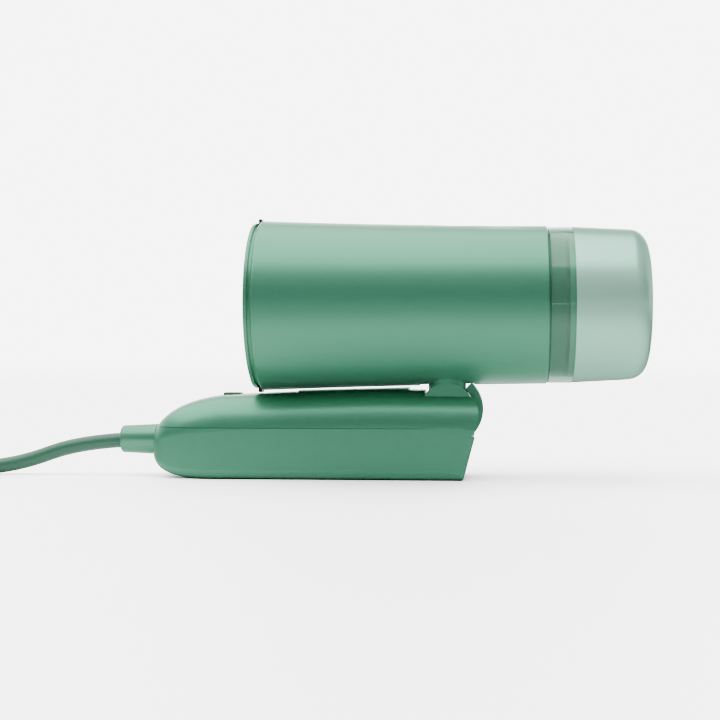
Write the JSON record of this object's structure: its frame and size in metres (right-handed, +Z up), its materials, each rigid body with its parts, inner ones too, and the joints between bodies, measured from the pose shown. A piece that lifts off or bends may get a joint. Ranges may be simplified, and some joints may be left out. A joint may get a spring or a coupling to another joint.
{
  "type": "handheld garment steamer",
  "caption": "Foldable handheld garment steamer: round head with steam plate and rear water tank, hinged to a hollow handle with a mains lead.",
  "frame": {"origin": "on the surface the folded handle stands on, under the middle of the steamer without its lead", "axes": "+X from the steam plate to the water tank, +Z up, folded and standing on its handle"},
  "size_m": [0.4604, 0.0948, 0.1151],
  "materials": {
    "shell_green": "satin metallic green",
    "handle_green": "satin metallic green",
    "trim_green": "satin metallic green",
    "dark_plastic": "matt",
    "knob_green": "satin",
    "plate_metal": "polished",
    "boiler_metal": "cast",
    "steel": "drawn",
    "inner_plastic": "matt",
    "board": "matt",
    "relay_black": "matt",
    "silicone": "matt",
    "clear_plastic": "clear gloss plastic",
    "frosted_plastic": "frosted",
    "cord_green": "satin",
    "brass_pin": "plated"
  },
  "bodies": {
    "handle": {"handle_top_shell": "handle_green", "handle_bottom_shell": "handle_green", "hinge_pin_far": "steel", "hinge_pin_near": "steel", "cord_sleeve": "trim_green", "cord_clamp": "dark_plastic", "terminal_block": "inner_plastic", "control_board": "board", "relay_case": "relay_black", "capacitor_case": "relay_black", "trigger_switch": "relay_black", "slider_switch": "relay_black", "trigger_spring": "steel", "mains_cord": "cord_green", "cord_coil": "cord_green", "plug_body": "cord_green", "plug_pin_near": "brass_pin", "plug_pin_far": "brass_pin"},
    "head": {"head_shell": "shell_green", "plate_bezel": "trim_green", "steam_plate": "plate_metal", "catch_top": "dark_plastic", "catch_bottom": "dark_plastic", "boiler_base": "boiler_metal", "boiler_cover": "boiler_metal", "heating_element": "steel", "heat_shield": "steel", "thermostat": "relay_black", "thermal_fuse": "inner_plastic", "head_chassis": "inner_plastic", "pump_body": "relay_black", "pump_coil": "steel", "hinge_bracket": "shell_green", "tank_seat": "dark_plastic", "socket_ring": "silicone", "inlet_hose": "silicone", "outlet_hose": "silicone"},
    "tank": {"tank_collar": "clear_plastic", "tank_body": "frosted_plastic", "valve_cap": "inner_plastic", "pickup_tube": "silicone", "pickup_filter": "inner_plastic", "valve_spring": "steel", "valve_cage": "inner_plastic", "filler_plug": "silicone"},
    "valve": {"valve_stem": "inner_plastic"},
    "trigger": {"trigger": "handle_green"},
    "slider": {"power_slider": "knob_green"}
  },
  "joints": [
    {"name": "handle_fold", "type": "hinge", "parent": "handle", "child": "head", "pos_m": [0.02905, 0, 0.0305], "axis": [0, 1, 0], "range_deg": [0, 105]},
    {"name": "tank_slide", "type": "slide", "parent": "head", "child": "tank", "axis": [1, 0, 0], "range_m": [0, 0.04]},
    {"name": "valve_travel", "type": "slide", "parent": "tank", "child": "valve", "axis": [1, 0, 0], "range_m": [0, 0.002], "stiffness_N_per_m": 250, "springref_m": -0.002, "deforming": ["valve_spring"]},
    {"name": "trigger_travel", "type": "slide", "parent": "handle", "child": "trigger", "axis": [0, 0, -1], "range_m": [0, 0.0025], "stiffness_N_per_m": 500, "springref_m": -0.002, "deforming": ["trigger_spring"]},
    {"name": "slider_travel", "type": "slide", "parent": "handle", "child": "slider", "axis": [1, 0, 0], "range_m": [0, 0.004]}
  ]
}
